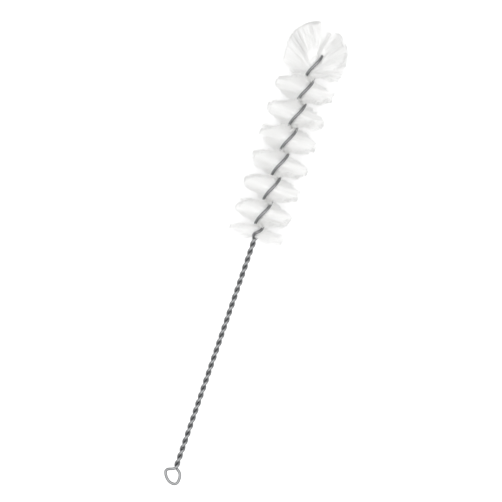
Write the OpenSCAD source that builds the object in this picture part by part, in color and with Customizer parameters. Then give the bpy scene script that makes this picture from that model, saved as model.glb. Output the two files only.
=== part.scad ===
// Bottle brush, in millimetres.
// One wire is folded at a hanging loop, and its two legs are twisted on each other up to the tip.
// Bristles are clamped between the legs, so they stand out as a spiral and fan out past the tip.
// The brush lies on its bristles: +X runs along the wire to the tip, +Z is up, the ground is Z = 0.

/* [Wire] */
// Diameter of the wire
wire_d = 1.5; // [1:0.1:2]
// Length of the twisted handle, from the loop to the head
handle_l = 129.5; // [80:0.5:200]
// Pitch of the twist in the handle: its length over one full turn
handle_pitch = 8.62; // [7:0.02:16]
// Gap between the two legs where they lie side by side
leg_gap = 0.04; // [0.02:0.01:0.1]

/* [Hanging loop] */
// Length of the loop, from where its legs cross to the far side of the wire
loop_l = 9.6; // [9:0.05:20]
// Width of the loop over the wire
loop_w = 9.8; // [9:0.05:16]
// Distance of the loop's middle to the side of the handle's axis
loop_shift = 0.48; // [0:0.02:1]
// Distance of the loop's far end to the other side of the axis
far_shift = 1.1; // [0:0.05:2]
// Distance from the crossing to the widest point of the square shoulder
square_shoulder = 3.75; // [3:0.05:7]
// Distance from the crossing to the widest point of the sloping shoulder
slope_shoulder = 5.5; // [3:0.05:7]

/* [Head] */
// Diameter of the head over the bristles, at the tip
head_d = 33.8; // [24:0.2:50]
// Diameter of the head where it starts
start_d = 31.2; // [24:0.2:50]
// Distance of the trimmed head's axis to the side of the wire
trim_shift = 0.55; // [0:0.05:1.5]
// Length of the twisted wire in the head
head_l = 106; // [60:0.5:160]
// Pitch of the twist in the head
head_pitch = 27.86; // [16:0.02:40]
// Length of the handle's tight twist that runs on into the head
lead_l = 5.25; // [4:0.25:10]
// Distance between the middles of the legs where the bristles hold them apart
legs_apart = 4.7; // [3.6:0.1:6]
// Length over which the legs come apart, and over which the twist slows down
opening_l = 6; // [4:0.5:10]
// Depth to which the brush's weight presses in the bristles that it lies on
press = 1.6; // [0.2:0.1:2.5]

/* [Bristle rows] */
// Length of bare wire at the start of the head
bare_l = 2.2; // [2:0.2:6]
// Turn from one row to the next, in degrees
row_turn = 15; // [9:1:20]
// Depth to which each row beds into the next one
row_lap = 0.06; // [0.02:0.01:0.2]
// Bundles across each row
bundles = 3; // [2:1:5]
// Clearance between the bristles and each leg
grip_gap = 0.18; // [0.05:0.01:0.3]
// How far each side of a row spreads from the wire to its tips
splay = 1.5; // [0:0.1:3]
// Depth of the slits between the bundles
slit_l = 9; // [4:0.5:12]
// Width of the slits at the tips
slit_w = 0.5; // [0.2:0.05:0.8]
// Most that a bundle falls short of the head's diameter
ragged = 0.8; // [0:0.1:2]

/* [Tip fan] */
// Length of wire whose bristles lean forward
fan_l = 8; // [5:0.5:12]
// Length of bare wire past the last row
tip_l = 2.6; // [0.4:0.2:4]
// Radius of the dome that the fan is trimmed to, round the end of the wire
fan_r = 17.4; // [12:0.2:25]
// Rows in the fan
fan_rows = 14; // [6:1:16]
// Width of a fan row at the wire
fan_w = 1.5; // [1:0.1:3]
// How far each side of a fan row spreads from the wire to its tips
fan_splay = 4; // [1:0.1:6]
// Lean of the last row, in degrees from square to the wire
fan_lean = 70; // [60:1:80]
// How the lean grows from row to row: under 1, most of it comes early
fan_rise = 0.65; // [0.4:0.05:1]
// Length of wire by whose twist the legs push the leaning rows round
push_l = 1.8; // [0.5:0.1:3]

/* [Hidden] */
wire_l = handle_l + head_l;
head_r = head_d / 2;
start_r = start_d / 2;
axis_y = -trim_shift;
axis_z = head_r - press;
fan_end = wire_l - tip_l;
fan_start = fan_end - fan_l;
brush_l = loop_l + fan_end + fan_length(tip_l, fan_lean) * sin(fan_lean);
x_start = loop_l - brush_l / 2;

// How finely the wire is drawn: its sides, the turn between its rings, and its rings in each bend of the loop
wire_sides = 8;
handle_ring_turn = 36;
head_ring_turn = 18;
bend_rings = 9;

cross_turn = 90;
handle_rate = 360 / handle_pitch;
head_rate = 360 / head_pitch;
handle_leg_r = (wire_d + leg_gap) / 2;
head_leg_r = legs_apart / 2;

// The twist slows down evenly over the opening's length
slow_s = handle_l + lead_l;
slow_start = slow_s - opening_l / 2;
slow_end = slow_s + opening_l / 2;
slow_rate = (handle_rate - head_rate) / opening_l;

// The twist's angle and each leg's distance from the axis, at a distance s from the loop's crossing
function smooth(t) = let (c = min(max(t, 0), 1)) c * c * (3 - 2 * c);
function slowed(s) =
    s < slow_end ? slow_rate * pow(max(s - slow_start, 0), 2) / 2 :
    slow_rate * opening_l * (s - slow_s);
function twist(s) = cross_turn + handle_rate * s - slowed(s);
function leg_r(s) = handle_leg_r + (head_leg_r - handle_leg_r) * smooth((s - handle_l) / opening_l);

// The distance at which the twist has a given angle
function station(turn) =
    let (past = turn - twist(slow_start))
    turn < twist(slow_start) ? slow_start + past / handle_rate :
    turn > twist(slow_end) ? slow_end + (turn - twist(slow_end)) / head_rate :
    slow_start + (handle_rate - sqrt(handle_rate * handle_rate - 2 * slow_rate * past)) / slow_rate;

// A point on the middle of a leg: side is 0 for one leg and 180 for the other
function leg_point(s, side) = [s, leg_r(s) * cos(twist(s) + side), leg_r(s) * sin(twist(s) + side)];

function bezier(p, t) =
    pow(1 - t, 3) * p[0] + 3 * pow(1 - t, 2) * t * p[1] + 3 * (1 - t) * t * t * p[2] + pow(t, 3) * p[3];

// The loop's four bends, from the upper leg round its square shoulder and far end to the lower leg.
// How far a bend keeps its direction at each end is a share of the length or width that it spans.
loop_reach = loop_l - wire_d / 2;
loop_side = (loop_w - wire_d) / 2;
neck_slope = handle_leg_r * handle_rate * PI / 180;
upper_neck = [0, 0, handle_leg_r];
lower_neck = [0, 0, -handle_leg_r];
square_side = [-square_shoulder, loop_shift + loop_side, 0];
slope_side = [-slope_shoulder, loop_shift - loop_side, 0];
far_end = [-loop_reach, -far_shift, 0];
square_neck_bend = 0.54;
square_side_bend = 0.63;
square_far_bend = 0.18;
far_square_bend = 0.64;
far_slope_bend = 0.69;
slope_far_bend = 0.72;
slope_side_bend = 0.8;
slope_neck_bend = 0.22;
loop_bends = [
    [
        upper_neck,
        upper_neck + square_neck_bend * square_shoulder * [-1, neck_slope, 0],
        square_side + square_side_bend * square_shoulder * [1, 0, 0],
        square_side
    ],
    [
        square_side,
        square_side - square_far_bend * (loop_reach - square_shoulder) * [1, 0, 0],
        far_end + far_square_bend * (square_side - far_end)[1] * [0, 1, 0],
        far_end
    ],
    [
        far_end,
        far_end + far_slope_bend * (slope_side - far_end)[1] * [0, 1, 0],
        slope_side - slope_far_bend * (loop_reach - slope_shoulder) * [1, 0, 0],
        slope_side
    ],
    [
        slope_side,
        slope_side + slope_side_bend * slope_shoulder * [1, 0, 0],
        lower_neck + slope_neck_bend * slope_shoulder * [-1, -neck_slope, 0],
        lower_neck
    ]
];

handle_turn = twist(handle_l);
head_turn = twist(wire_l) - handle_turn;
head_rings = ceil(head_turn / head_ring_turn);
handle_rings = ceil((handle_turn - cross_turn) / handle_ring_turn);
leg_stations = concat(
    [for (i = [head_rings : -1 : 1]) station(handle_turn + head_turn * i / head_rings)],
    [for (i = [handle_rings : -1 : 0]) handle_l * i / handle_rings]
);
leg_count = len(leg_stations);
wire_path = concat(
    [for (s = leg_stations) leg_point(s, 0)],
    [for (bend = loop_bends) for (i = [1 : bend_rings]) bezier(bend, i / bend_rings)],
    [for (i = [leg_count - 2 : -1 : 0]) leg_point(leg_stations[i], 180)]
);

// The rows' number, and how far each of their bundles falls short
spiral_turn = twist(fan_start);
rows = floor((spiral_turn - twist(handle_l + bare_l)) / row_turn);
fan_pitch = fan_l / fan_rows;
fan_row_h = fan_pitch + 2 * row_lap;
shortfall = rands(0, ragged, 2 * bundles * (rows + fan_rows), 7);

// A round bar along a path that never runs straight up
module bar(path, d, sides) {
    last = len(path) - 1;
    points = [
        for (i = [0 : last])
            let (ahead = path[min(i + 1, last)] - path[max(i - 1, 0)])
            let (along = ahead / norm(ahead))
            let (level = cross([0, 0, 1], along))
            let (across = level / norm(level))
            let (up = cross(along, across))
            for (k = [0 : sides - 1])
                path[i] + d / 2 * (cos(360 * k / sides) * across + sin(360 * k / sides) * up)
    ];
    walls = [
        for (i = [0 : last - 1])
            for (k = [0 : sides - 1])
                let (a = i * sides + k)
                let (b = i * sides + (k + 1) % sides)
                each [[a, a + sides, b + sides], [a, b + sides, b]]
    ];
    start_cap = [for (k = [0 : sides - 1]) k];
    end_cap = [for (k = [sides - 1 : -1 : 0]) last * sides + k];
    polyhedron(points, concat(walls, [start_cap, end_cap]));
}

// Reach of the bristles from the wire's axis, which grows along the head
function row_reach(s, turn) =
    start_r + (head_r - start_r) * (s - handle_l) / (fan_start - handle_l) + trim_shift * cos(turn);

// How far a row runs before it spreads: past the legs, or to its slits where those come first
function row_neck(lean, reach) = min((head_leg_r + wire_d / 2) / cos(lean), reach - slit_l);

// How far a bundle runs before it meets its full reach or the ground
function bundle_end(turn, lean, w, reach) =
    min(
        sqrt(reach * reach - w * w),
        (axis_z + w * cos(turn)) / max(-sin(turn) * cos(lean), 0.01)
    );

// One end of a row, as bundles side by side with slits between them
function comb(turn, lean, root, reach, spread, first) =
    let (neck = row_neck(lean, reach))
    let (slit = reach - slit_l)
    let (slit_side = root + spread * (slit - neck) / (reach - neck))
    let (tip_side = root + spread)
    [
        [neck, -root],
        for (j = [0 : bundles - 1])
            let (low = (2 * j / bundles - 1) * tip_side + (j > 0 ? slit_w / 2 : 0))
            let (high = (2 * (j + 1) / bundles - 1) * tip_side - (j < bundles - 1 ? slit_w / 2 : 0))
            let (tip = reach - shortfall[first + j])
            each [
                [bundle_end(turn, lean, low, tip), low],
                [bundle_end(turn, lean, high, tip), high],
                if (j < bundles - 1) [slit, (2 * (j + 1) / bundles - 1) * slit_side]
            ],
        [neck, root]
    ];

// Length of a leaning bristle, trimmed to a cylinder before the end of the wire and to a dome past it
function fan_length(before, lean) =
    before > fan_r * tan(lean) ? fan_r / cos(lean) :
    before * sin(lean) + sqrt(fan_r * fan_r - pow(before * cos(lean), 2));

// Puts a row drawn round the axis at its distance s and its turn
module at_row(s, turn) {
    translate([x_start + s, axis_y, axis_z])
        rotate([turn, 0, 0])
            rotate([90, 0, 90])
                children();
}

module wire() {
    color([0.72, 0.73, 0.75])
        translate([x_start, axis_y, axis_z])
            bar(wire_path, wire_d, wire_sides);
}

// The rows between the legs, each turned with the twist, as one spiral ribbon
module bristle_spiral() {
    color([0.96, 0.96, 0.95])
        union() {
            for (i = [0 : rows - 1]) {
                s = station(spiral_turn - (i + 1) * row_turn);
                row_h = station(spiral_turn - i * row_turn) - s;
                turn = spiral_turn - (i + 0.5) * row_turn + 90;
                root = leg_r(s) - wire_d / 2 - grip_gap;
                first = 2 * bundles * i;
                lap = i > 0 ? row_lap : 0;
                at_row(s, turn)
                    linear_extrude(row_h + lap)
                        polygon(concat(
                            comb(turn, 0, root, row_reach(s, turn), splay, first),
                            -comb(turn + 180, 0, root, row_reach(s, turn + 180), splay, first + bundles)
                        ));
            }
        }
}

// The last rows, parted in two halves that lean further forward from row to row
module tip_fan() {
    color([0.96, 0.96, 0.95])
        union() {
            for (i = [0 : fan_rows - 1]) {
                s = fan_start + i * fan_pitch;
                share = pow((i + 1) / fan_rows, fan_rise);
                lean = fan_lean * share;
                root = fan_w / 2;
                first = 2 * bundles * (rows + i);
                for (half = [0, 1]) {
                    turn = twist(min(s + fan_pitch / 2 + push_l * share, fan_end)) + 90 + 180 * half;
                    reach = fan_length(wire_l - s, lean) + trim_shift * cos(turn);
                    at_row(s, turn)
                        rotate([0, -lean, 0])
                            linear_extrude(fan_row_h)
                                polygon(concat(
                                    [[0, -root]],
                                    comb(turn, lean, root, reach, fan_splay, first + bundles * half),
                                    [[0, root]]
                                ));
                }
            }
        }
}

wire();
bristle_spiral();
tip_fan();
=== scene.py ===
"""Looks of a bottle brush: a twisted wire and loose nylon filaments, in metres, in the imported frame."""

import math

import bpy
import numpy as np
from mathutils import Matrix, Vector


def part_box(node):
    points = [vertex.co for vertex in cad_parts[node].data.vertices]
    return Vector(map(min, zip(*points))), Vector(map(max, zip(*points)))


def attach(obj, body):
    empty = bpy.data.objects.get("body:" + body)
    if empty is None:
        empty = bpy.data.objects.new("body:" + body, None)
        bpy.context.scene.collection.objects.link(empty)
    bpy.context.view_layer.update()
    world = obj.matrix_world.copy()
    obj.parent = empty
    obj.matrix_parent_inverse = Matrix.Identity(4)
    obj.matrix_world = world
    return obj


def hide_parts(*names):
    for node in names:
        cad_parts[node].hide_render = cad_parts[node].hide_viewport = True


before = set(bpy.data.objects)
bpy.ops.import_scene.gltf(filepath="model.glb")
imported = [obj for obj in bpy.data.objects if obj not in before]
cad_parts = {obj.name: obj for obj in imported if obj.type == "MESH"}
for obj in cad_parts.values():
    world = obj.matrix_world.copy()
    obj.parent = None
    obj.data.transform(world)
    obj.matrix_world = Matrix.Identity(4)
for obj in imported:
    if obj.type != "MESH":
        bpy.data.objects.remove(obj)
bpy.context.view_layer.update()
MM = 0.001
SEED = 845

# Wire, with the sizes that it has in the frame
WIRE_D = 1.5 * MM
HANDLE_L = 129.5 * MM
HANDLE_PITCH = 8.62 * MM
LEG_GAP = 0.04 * MM
HEAD_L = 106 * MM
HEAD_PITCH = 27.86 * MM
LEAD_L = 5.25 * MM
LEGS_APART = 4.7 * MM
OPENING_L = 6 * MM
BEVEL = 0.12 * MM

# Hanging loop, and the share of its span over which each bend keeps its direction
LOOP_L = 9.6 * MM
LOOP_W = 9.8 * MM
LOOP_SHIFT = 0.48 * MM
FAR_SHIFT = 1.1 * MM
SQUARE_SHOULDER = 3.75 * MM
SLOPE_SHOULDER = 5.5 * MM
SQUARE_NECK_BEND = 0.54
SQUARE_SIDE_BEND = 0.63
SQUARE_FAR_BEND = 0.18
FAR_SQUARE_BEND = 0.64
FAR_SLOPE_BEND = 0.69
SLOPE_FAR_BEND = 0.72
SLOPE_SIDE_BEND = 0.8
SLOPE_NECK_BEND = 0.22

# Steps along the wire's mesh, and sides round it
HANDLE_STEPS = 360
OPENING_STEPS = 40
HEAD_STEPS = 160
BEND_STEPS = 18
WIRE_SIDES = 20

# Head, with the sizes that it has in the frame
HEAD_R = 16.9 * MM
START_R = 15.6 * MM
TRIM_SHIFT = 0.55 * MM
PRESS = 1.6 * MM
BARE_L = 2.2 * MM
SPLAY = 1.5 * MM

# Fan, with the sizes that it has in the frame
FAN_L = 8 * MM
TIP_L = 2.6 * MM
FAN_R = 17.4 * MM
FAN_LEAN = math.radians(70)
FAN_RISE = 0.65
FAN_W = 1.5 * MM
FAN_SPLAY = 4 * MM
PUSH_L = 1.8 * MM

# Filaments, and the shares of their length from the wire at which they have a ring of points
FILAMENT_D = 0.2 * MM
FILAMENT_SIDES = 3
THICKNESS = (0.85, 1.1)
FILAMENTS_PER_MM = 54
FAN_FILAMENTS = 900
HELD_SHARE = 0.07
SPIRAL_SHARES = np.array([0, HELD_SHARE, 0.24, 0.48, 0.74, 0.94, 1])
FAN_SHARES = np.array([0, HELD_SHARE, 0.2, 0.4, 0.7, 0.95, 1])
SPIRAL_PIECES = ("bristles_low", "bristles_middle", "bristles_high")

# Wisps of filaments that stand together: their length along the wire and their number across a row
WISP_L = 1.2 * MM
WISPS_ACROSS = 2

# Drift of a wisp, and of a filament by itself: across the row, along the wire and short of its length
WISP_DRIFT = np.array([0.8, 0.8, 0.9]) * MM
OWN_DRIFT = np.array([0.16, 0.14, 0.1]) * MM
OWN_CUT = 0.2 * MM
AHEAD_SPLAY = 0.9 * MM
SPREAD_POWER = 1.15
BOW = 0.15 * MM

# Share of the brightest tone that the dullest wisps lose, the share that the cut tips lose as painted
# shade that outlines the lobes, and how rare dull wisps are
WISP_DULL = 0.08
FAN_DULL = 0.45
TIP_PAINTED_SHADE = 0.8
DULL_POWER = 3
OWN_DULL = (0.5, 1)

# The first filaments, over a short length of wire, lean back and spread further
BACK_L = 6 * MM
BACK_LEAN = math.radians(6)
BACK_SPREAD = 1.5

# Share of its lean that a filament has at the wire, and how fast it takes on the rest
LEAN_AT_WIRE = 0.35
LEAN_RATE = 1.6

# The fan's filaments gather towards the plane of its middle row, and its rows close up as they lean
FAN_MIDDLE = 0.45
FAN_CLOSING = 0.6
LEAN_SCATTER = math.radians(2)
FAN_HALVES = (
    dict(turn=0, tilt=math.radians(4), gather=0.25, loose=1.7),
    dict(turn=math.pi, tilt=math.radians(8), gather=0.55, loose=0.6),
)

# Directions from which the sides of the filaments and of the wire are counted
SPIRAL_SIDE = np.array([1.0, 0, 0])
FAN_SIDE = np.array([0, 0.1, 1.0])
WIRE_SIDE = np.array([0, 0, 1.0])

# Colours from dull to bright, the colour of the wire's edges and the range of its gloss; the nylon's dull
# end also gives the painted shade at the cut tips
STEEL = ((0.235, 0.24, 0.245), (0.375, 0.38, 0.385))
STEEL_EDGE = (0.25, 0.25, 0.26, 1)
STEEL_ROUGHNESS = (0.2, 0.32)
NYLON = ((0.72, 0.72, 0.715), (0.999, 0.999, 0.996))
WHITE = (1, 1, 1, 1)

# Streaks of the drawn wire: the length over which they change, how often they change round it, their depth
STREAK_L = 20 * MM
STREAKS_ROUND = 2
STREAK_DEPTH = 0.03 * MM

# Floor, sky and softbox, and how often light may bounce
FLOOR_HALF = 3
FLOOR_COLOUR = (0.88, 0.88, 0.88, 1)
FLOOR_GLOW = 0.3
SKY = 0.57
LAMP_PLACE = (0.05, 0, 2.3)
LAMP_TURN = math.radians(-22)
LAMP_SIZE = 3.4
LAMP_POWER = 52
BOUNCES = 32

# Camera: the photograph's width in pixels, what a pixel covers, and how far the aim is off the middle
PHOTO_W = 502
PIXEL = 0.539 * MM
SENSOR_W = 36
CAMERA_DISTANCE = 1.6
CAMERA_TURN = math.radians(-71.03)
AIM_AHEAD = 2.47 * MM
AIM_ASIDE = -0.3 * MM

# Places: the wire starts at the loop's crossing, one loop length from the frame's low end
X_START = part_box("wire")[0].x + LOOP_L
AXIS_Y = -TRIM_SHIFT
AXIS_Z = HEAD_R - PRESS
WIRE_L = HANDLE_L + HEAD_L
SLOW_S = HANDLE_L + LEAD_L
SPIRAL_START = HANDLE_L + BARE_L
FAN_END = WIRE_L - TIP_L
FAN_START = FAN_END - FAN_L

# Turn of the legs, and their distance from the axis
CROSS_TURN = math.pi / 2
HANDLE_RATE = 2 * math.pi / HANDLE_PITCH
HEAD_RATE = 2 * math.pi / HEAD_PITCH
HANDLE_LEG_R = (WIRE_D + LEG_GAP) / 2
HEAD_LEG_R = LEGS_APART / 2

random = np.random.default_rng(SEED)


# Twist of the two legs, at a distance s from the loop's crossing


def smooth(t):
    """From 0 to 1, starting and ending level."""
    c = np.clip(t, 0, 1)
    return c * c * (3 - 2 * c)


def soft_ramp(d):
    """d where it is above 0 and 0 elsewhere, with the corner rounded over the opening's length."""
    half = OPENING_L / 2
    return np.where(np.abs(d) < half, (d + half) ** 2 / (4 * half), np.maximum(d, 0))


def twist(s):
    """Angle of the first leg about the axis. The second leg is half a turn on."""
    return CROSS_TURN + HANDLE_RATE * s + (HEAD_RATE - HANDLE_RATE) * soft_ramp(s - SLOW_S)


def row_turn(s):
    """Direction in which a row of bristles leaves the wire, square to the plane of the legs."""
    return twist(s) + math.pi / 2


def leg_radius(s):
    """Distance from the axis to the middle of each leg."""
    return HANDLE_LEG_R + (HEAD_LEG_R - HANDLE_LEG_R) * smooth((s - HANDLE_L) / OPENING_L)


def leg_points(s, side):
    angle = twist(s) + side
    r = leg_radius(s)
    return np.stack([s, r * np.cos(angle), r * np.sin(angle)], axis=-1)


# Hanging loop, as four bends from the upper leg to the lower one


def bezier(points, steps):
    t = np.linspace(0, 1, steps + 1)[1:, None]
    a, b, c, d = points
    return (1 - t) ** 3 * a + 3 * (1 - t) ** 2 * t * b + 3 * (1 - t) * t * t * c + t**3 * d


def loop_points():
    ahead = np.array([1.0, 0, 0])
    aside = np.array([0, 1.0, 0])
    reach = LOOP_L - WIRE_D / 2
    half = (LOOP_W - WIRE_D) / 2
    slope = HANDLE_LEG_R * HANDLE_RATE
    upper = np.array([0, 0, HANDLE_LEG_R])
    lower = -upper
    square = np.array([-SQUARE_SHOULDER, LOOP_SHIFT + half, 0])
    sloped = np.array([-SLOPE_SHOULDER, LOOP_SHIFT - half, 0])
    far = np.array([-reach, -FAR_SHIFT, 0])
    bends = [
        (
            upper,
            upper + SQUARE_NECK_BEND * SQUARE_SHOULDER * np.array([-1, slope, 0]),
            square + SQUARE_SIDE_BEND * SQUARE_SHOULDER * ahead,
            square,
        ),
        (
            square,
            square - SQUARE_FAR_BEND * (reach - SQUARE_SHOULDER) * ahead,
            far + FAR_SQUARE_BEND * (square - far)[1] * aside,
            far,
        ),
        (
            far,
            far + FAR_SLOPE_BEND * (sloped - far)[1] * aside,
            sloped - SLOPE_FAR_BEND * (reach - SLOPE_SHOULDER) * ahead,
            sloped,
        ),
        (
            sloped,
            sloped + SLOPE_SIDE_BEND * SLOPE_SHOULDER * ahead,
            lower + SLOPE_NECK_BEND * SLOPE_SHOULDER * np.array([-1, -slope, 0]),
            lower,
        ),
    ]
    return np.concatenate([bezier(bend, BEND_STEPS) for bend in bends])


# Mesh helpers


def add_object(name, data):
    added = bpy.data.objects.new(name, data)
    bpy.context.scene.collection.objects.link(added)
    return added


def unit(v):
    return v / np.linalg.norm(v, axis=-1, keepdims=True)


def round_turns(sides):
    return 2 * math.pi * np.arange(sides) / sides


def tube_rings(paths, radii, sides, reference):
    """Rings of points round many paths at once: paths is (count, steps, 3), radii is (count, steps)."""
    ahead = np.empty_like(paths)
    ahead[:, 1:-1] = paths[:, 2:] - paths[:, :-2]
    ahead[:, 0] = paths[:, 1] - paths[:, 0]
    ahead[:, -1] = paths[:, -1] - paths[:, -2]
    along = unit(ahead)
    across = unit(np.cross(reference, along))
    up = np.cross(along, across)
    turn = round_turns(sides)[:, None]
    ring = np.cos(turn) * across[:, :, None, :] + np.sin(turn) * up[:, :, None, :]
    return paths[:, :, None, :] + radii[:, :, None, None] * ring


def tube_mesh(name, rings, smooth_sides):
    """One mesh from rings of shape (count, steps, sides, 3), with flat ends."""
    count, steps, sides, _ = rings.shape
    index = np.arange(count * steps * sides).reshape(count, steps, sides)
    turned = np.roll(index, -1, axis=2)
    walls = np.stack([index[:, :-1], turned[:, :-1], turned[:, 1:], index[:, 1:]], axis=-1)
    faces = walls.reshape(-1, 4).tolist()
    faces += index[:, 0, ::-1].tolist()
    faces += index[:, -1].tolist()
    mesh = bpy.data.meshes.new(name)
    mesh.from_pydata(rings.reshape(-1, 3), [], faces)
    if smooth_sides:
        mesh.shade_smooth()
    return add_object(name, mesh)


def point_values(piece, name, values):
    attribute = piece.data.attributes.new(name, "FLOAT", "POINT")
    attribute.data.foreach_set("value", values.astype(np.float32).ravel())


def dress(piece, material, node):
    piece.data.materials.append(material)
    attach(piece, "root")
    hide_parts(node)


# Materials


def new_material(name):
    material = bpy.data.materials.new(name)
    material.use_nodes = True
    nodes = material.node_tree.nodes
    return material, nodes, material.node_tree.links, nodes["Principled BSDF"]


def ramp(nodes, low, high, low_at=0.3, high_at=0.7):
    node = nodes.new("ShaderNodeValToRGB")
    node.color_ramp.elements[0].position = low_at
    node.color_ramp.elements[0].color = (*low, 1)
    node.color_ramp.elements[1].position = high_at
    node.color_ramp.elements[1].color = (*high, 1)
    return node


def noise(nodes, scale, detail):
    node = nodes.new("ShaderNodeTexNoise")
    node.inputs["Scale"].default_value = scale
    node.inputs["Detail"].default_value = detail
    return node


def value_of(nodes, attribute_name):
    node = nodes.new("ShaderNodeAttribute")
    node.attribute_name = attribute_name
    return node.outputs["Fac"]


def galvanised_steel():
    """Bright drawn wire with a zinc coat: fine streaks along it and a patchy sheen."""
    material, nodes, links, shader = new_material("galvanised_steel")
    shader.inputs["Metallic"].default_value = 1
    shader.inputs["Specular Tint"].default_value = STEEL_EDGE
    place = nodes.new("ShaderNodeCombineXYZ")
    links.new(value_of(nodes, "along"), place.inputs["X"])
    links.new(value_of(nodes, "around"), place.inputs["Y"])
    streaks = noise(nodes, scale=6, detail=5)
    links.new(place.outputs["Vector"], streaks.inputs["Vector"])
    colour = ramp(nodes, *STEEL)
    links.new(streaks.outputs["Fac"], colour.inputs["Fac"])
    links.new(colour.outputs["Color"], shader.inputs["Base Color"])
    coat = noise(nodes, scale=420, detail=4)
    smoothest, roughest = STEEL_ROUGHNESS
    gloss = ramp(nodes, [smoothest] * 3, [roughest] * 3)
    links.new(coat.outputs["Fac"], gloss.inputs["Fac"])
    links.new(gloss.outputs["Color"], shader.inputs["Roughness"])
    bump = nodes.new("ShaderNodeBump")
    bump.inputs["Strength"].default_value = 0.12
    bump.inputs["Distance"].default_value = STREAK_DEPTH
    links.new(streaks.outputs["Fac"], bump.inputs["Height"])
    links.new(bump.outputs["Normal"], shader.inputs["Normal"])
    return material


def white_nylon():
    """White filament, slightly brighter or duller from one to the next, with painted shade darkening its
    cut tips.
    """
    material, nodes, links, shader = new_material("white_nylon")
    shader.inputs["Roughness"].default_value = 0.42
    shader.inputs["Specular IOR Level"].default_value = 0.4
    colour = ramp(nodes, *NYLON, low_at=0, high_at=1)
    links.new(value_of(nodes, "tone"), colour.inputs["Fac"])
    links.new(colour.outputs["Color"], shader.inputs["Base Color"])
    return material


# Wire


def make_wire(material):
    open_end = HANDLE_L + 2 * LEAD_L
    stations = np.concatenate([
        np.linspace(0, HANDLE_L, HANDLE_STEPS, endpoint=False),
        np.linspace(HANDLE_L, open_end, OPENING_STEPS, endpoint=False),
        np.linspace(open_end, WIRE_L - BEVEL, HEAD_STEPS + 1),
        [WIRE_L],
    ])
    path = np.concatenate([
        leg_points(stations[::-1], 0),
        loop_points(),
        leg_points(stations[1:], math.pi),
    ])
    path += [X_START, AXIS_Y, AXIS_Z]
    radii = np.full(len(path), WIRE_D / 2)
    radii[[0, -1]] -= BEVEL
    rings = tube_rings(path[None], radii[None], WIRE_SIDES, WIRE_SIDE)
    wire = tube_mesh("twisted_wire", rings, smooth_sides=True)
    steps = np.linalg.norm(np.diff(path, axis=0), axis=1)
    length = np.concatenate([[0], np.cumsum(steps)])
    point_values(wire, "along", np.repeat(length / STREAK_L, WIRE_SIDES))
    point_values(wire, "around", np.tile(STREAKS_ROUND * np.cos(round_turns(WIRE_SIDES)), len(path)))
    dress(wire, material, "wire")


# Bristles


def wisp_of(s, across):
    """The wisp that each filament stands in: its row along the wire and its cell across the row."""
    rows = np.floor((s - s.min()) / WISP_L).astype(int)
    cells = np.clip(((across + 1) / 2 * WISPS_ACROSS).astype(int), 0, WISPS_ACROSS - 1)
    return rows, cells


def wisp_drift(s, across, spread):
    """A drift that all the filaments of one wisp share."""
    rows, cells = wisp_of(s, across)
    drift = random.normal(0, 1, (rows.max() + 1, WISPS_ACROSS, len(spread)))
    return drift[rows, cells] * spread


def wisp_tone(s, across, dullest):
    """How bright each filament is, from 0 to 1. Most wisps are bright and a few are dull."""
    rows, cells = wisp_of(s, across)
    dull = random.uniform(0, 1, (rows.max() + 1, WISPS_ACROSS)) ** DULL_POWER
    return 1 - dullest * dull[rows, cells] * random.uniform(*OWN_DULL, len(s))


def at_start(s):
    """How near a filament is to the start of the head: 1 at the start and 0 past the first rows."""
    return np.clip(1 - (s - SPIRAL_START) / BACK_L, 0, 1)


def tip_places(s, across, turn, root_half, reach, splay, loose):
    """Where the filaments end: how far across the row, along the wire and out from it.

    The trimmed head stands off the wire's axis, from nothing at its start to twice the mean at its end.
    """
    count = len(s)
    drift = wisp_drift(s, across, loose * WISP_DRIFT) + random.normal(0, 1, (count, 3)) * OWN_DRIFT
    tip_across = across * (root_half + splay) + drift[:, 0]
    spread = AHEAD_SPLAY * (1 + BACK_SPREAD * at_start(s))
    tip_ahead = drift[:, 1] + spread * random.uniform(-1, 1, count)
    cut = np.abs(drift[:, 2]) + random.uniform(0, OWN_CUT, count)
    shift = 2 * TRIM_SHIFT * (s - HANDLE_L) / HEAD_L
    trimmed = reach + shift * np.cos(turn)
    tip_out = np.sqrt(np.maximum((trimmed - cut) ** 2 - tip_across**2, 0))
    return tip_across, tip_ahead, tip_out


def half_filaments(s, across, turn, swing, root_half, reach, lean, shares, splay, loose=1):
    """Points of one half of each filament, from the wire to the tip: (count, len(shares), 3).

    across runs from -1 to 1 over the row, turn is the direction of the row at the wire, and swing is
    how far the filament has turned back from it at its tip.
    """
    tip_across, tip_ahead, tip_out = tip_places(s, across, turn, root_half, reach, splay, loose)
    taken = np.clip((shares - HELD_SHARE) / (1 - HELD_SHARE), 0, 1) ** SPREAD_POWER
    bow = random.normal(0, BOW, (len(s), 2))[:, :, None] * np.sin(math.pi * shares)
    out = tip_out[:, None] * shares
    side = (across * root_half)[:, None] * (1 - taken) + tip_across[:, None] * taken + bow[:, 0]
    ahead = tip_ahead[:, None] * taken + bow[:, 1]
    bend = lean[:, None] * np.minimum(1, LEAN_AT_WIRE + LEAN_RATE * shares)
    leaned_out = out * np.cos(bend) - ahead * np.sin(bend)
    leaned_ahead = out * np.sin(bend) + ahead * np.cos(bend)
    turned = turn[:, None] - swing[:, None] * taken
    height = AXIS_Z + leaned_out * np.sin(turned) + side * np.cos(turned)
    points = np.empty((len(s), len(shares), 3))
    points[:, :, 0] = X_START + s[:, None] + leaned_ahead
    points[:, :, 1] = AXIS_Y + leaned_out * np.cos(turned) - side * np.sin(turned)
    points[:, :, 2] = np.maximum(height, FILAMENT_D / 2)
    return points


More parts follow.
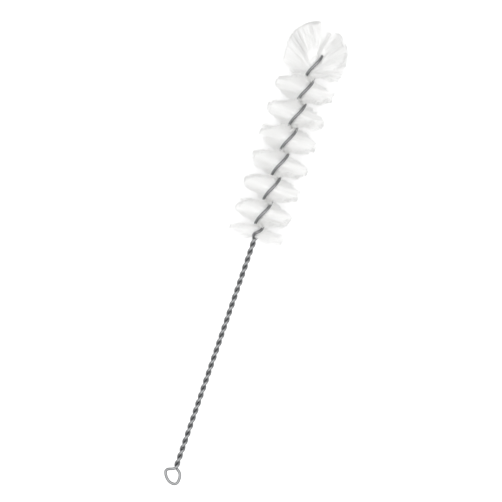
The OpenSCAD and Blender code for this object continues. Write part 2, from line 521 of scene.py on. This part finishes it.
def filament_piece(name, paths, tone, at_tip, reference, material, node):
    """One piece of many filaments. at_tip is 1 at the steps that are a cut tip and 0 at the others."""
    radii = np.full(paths.shape[:2], FILAMENT_D / 2)
    radii *= random.uniform(*THICKNESS, (len(paths), 1))
    rings = tube_rings(paths, radii, FILAMENT_SIDES, reference)
    piece = tube_mesh(name, rings, smooth_sides=False)
    # Painted shade: the cut tips are darkened so that the lobes show grey outlines
    tones = tone[:, None] * (1 - TIP_PAINTED_SHADE * at_tip)
    point_values(piece, "tone", np.repeat(tones, FILAMENT_SIDES))
    dress(piece, material, node)


def make_spiral(material):
    """Filaments that pass between the legs, from tip to tip, in three pieces along the head."""
    at_tip = np.zeros(2 * len(SPIRAL_SHARES) - 1)
    at_tip[[0, -1]] = 1
    edges = np.linspace(SPIRAL_START, FAN_START, len(SPIRAL_PIECES) + 1)
    for name, low, high in zip(SPIRAL_PIECES, edges[:-1], edges[1:]):
        count = int((high - low) / MM * FILAMENTS_PER_MM)
        s = low + (np.arange(count) + random.uniform(0, 1, count)) / count * (high - low)
        across = random.uniform(-1, 1, count)
        root_half = leg_radius(s) - WIRE_D / 2 - FILAMENT_D / 2
        turn = row_turn(s)
        reach = START_R + (HEAD_R - START_R) * (s - HANDLE_L) / (FAN_START - HANDLE_L)
        lean = -BACK_LEAN * at_start(s)
        row = (np.zeros(count), root_half, reach, lean, SPIRAL_SHARES, SPLAY)
        one = half_filaments(s, across, turn, *row)
        other = half_filaments(s, -across, turn + math.pi, *row)
        paths = np.concatenate([other[:, :0:-1], one], axis=1)
        # All filaments run towards the same side of the brush, so that each has a flat side up
        aside = np.cos(turn) > 0
        paths[aside] = paths[aside, ::-1]
        tone = wisp_tone(s, across, WISP_DULL)
        filament_piece(name, paths, tone, at_tip, SPIRAL_SIDE, material, "bristle_spiral")


def fan_length(before, lean):
    """Length of a leaning filament, trimmed to a cylinder, and to a dome past the end of the wire."""
    aside = np.minimum(before * np.cos(lean), FAN_R)
    dome = before * np.sin(lean) + np.sqrt(FAN_R**2 - aside**2)
    return np.where(before > FAN_R * np.tan(lean), FAN_R / np.cos(lean), dome)


def make_fan(material):
    """Filaments that lean further forward one after the other, in two halves that gather by themselves."""
    at_tip = np.zeros(len(FAN_SHARES))
    at_tip[-1] = 1
    share = (np.arange(FAN_FILAMENTS) + random.uniform(0, 1, FAN_FILAMENTS)) / FAN_FILAMENTS
    s = FAN_START + share * FAN_L
    across = random.uniform(-1, 1, FAN_FILAMENTS)
    root_half = np.full(FAN_FILAMENTS, FAN_W / 2)
    risen = share**FAN_RISE
    turn = row_turn(np.minimum(s + PUSH_L * risen, FAN_END))
    middle = row_turn(FAN_START + FAN_MIDDLE * FAN_L)
    splay = FAN_SPLAY * (1 - FAN_CLOSING * risen)
    paths = []
    tones = []
    for half in FAN_HALVES:
        lean = (FAN_LEAN + half["tilt"]) * risen + random.normal(0, LEAN_SCATTER, FAN_FILAMENTS)
        reach = fan_length(WIRE_L - s, lean)
        swing = half["gather"] * (turn - middle)
        row = (swing, root_half, reach, lean, FAN_SHARES, splay, half["loose"])
        paths.append(half_filaments(s, across, turn + half["turn"], *row))
        tones.append(wisp_tone(s, across, FAN_DULL))
    tone = np.concatenate(tones)
    filament_piece("fan_bristles", np.concatenate(paths), tone, at_tip, FAN_SIDE, material, "tip_fan")


# Floor, light and camera


def make_floor():
    """A white sweep: what the camera or a reflection sees is white, and the shadow stays on it."""
    low = -FLOOR_HALF
    high = FLOOR_HALF
    corners = [(low, low, 0), (high, low, 0), (high, high, 0), (low, high, 0)]
    mesh = bpy.data.meshes.new("floor")
    mesh.from_pydata(corners, [], [(0, 1, 2, 3)])
    floor = add_object("floor", mesh)
    material, nodes, links, shader = new_material("floor_white")
    shader.inputs["Base Color"].default_value = FLOOR_COLOUR
    shader.inputs["Roughness"].default_value = 0.9
    shader.inputs["Specular IOR Level"].default_value = 0
    shader.inputs["Emission Color"].default_value = WHITE
    path = nodes.new("ShaderNodeLightPath")
    seen = path.outputs["Is Camera Ray"]
    for ray in ("Is Glossy Ray", "Is Transmission Ray"):
        either = nodes.new("ShaderNodeMath")
        either.operation = "MAXIMUM"
        links.new(seen, either.inputs[0])
        links.new(path.outputs[ray], either.inputs[1])
        seen = either.outputs[0]
    glow = nodes.new("ShaderNodeMath")
    glow.operation = "MULTIPLY"
    glow.inputs[1].default_value = FLOOR_GLOW
    links.new(seen, glow.inputs[0])
    links.new(glow.outputs[0], shader.inputs["Emission Strength"])
    mesh.materials.append(material)


def make_light():
    """A white sky and one wide softbox overhead."""
    world = bpy.data.worlds.new("studio")
    world.use_nodes = True
    sky = world.node_tree.nodes["Background"]
    sky.inputs["Color"].default_value = WHITE
    sky.inputs["Strength"].default_value = SKY
    bpy.context.scene.world = world
    lamp = bpy.data.lights.new("overhead", "AREA")
    lamp.shape = "SQUARE"
    lamp.size = LAMP_SIZE
    lamp.energy = LAMP_POWER
    softbox = add_object("overhead", lamp)
    softbox.location = LAMP_PLACE
    softbox.rotation_euler = (0, 0, LAMP_TURN)


def make_camera():
    """Straight above, with a long lens, turned so that the brush leans as it does in the photograph."""
    settings = bpy.data.cameras.new("camera")
    settings.sensor_width = SENSOR_W
    settings.lens = SENSOR_W * CAMERA_DISTANCE / (PHOTO_W * PIXEL)
    camera = add_object("camera", settings)
    camera.location = (AIM_AHEAD, AXIS_Y + AIM_ASIDE, AXIS_Z + CAMERA_DISTANCE)
    camera.rotation_euler = (0, 0, CAMERA_TURN)
    bpy.context.scene.camera = camera


nylon = white_nylon()
make_wire(galvanised_steel())
make_spiral(nylon)
make_fan(nylon)
make_floor()
make_light()
make_camera()
bpy.context.scene.view_settings.view_transform = "Standard"

# White filaments pass light on many times before it leaves the head
bpy.context.scene.cycles.max_bounces = BOUNCES
bpy.context.scene.cycles.diffuse_bounces = BOUNCES
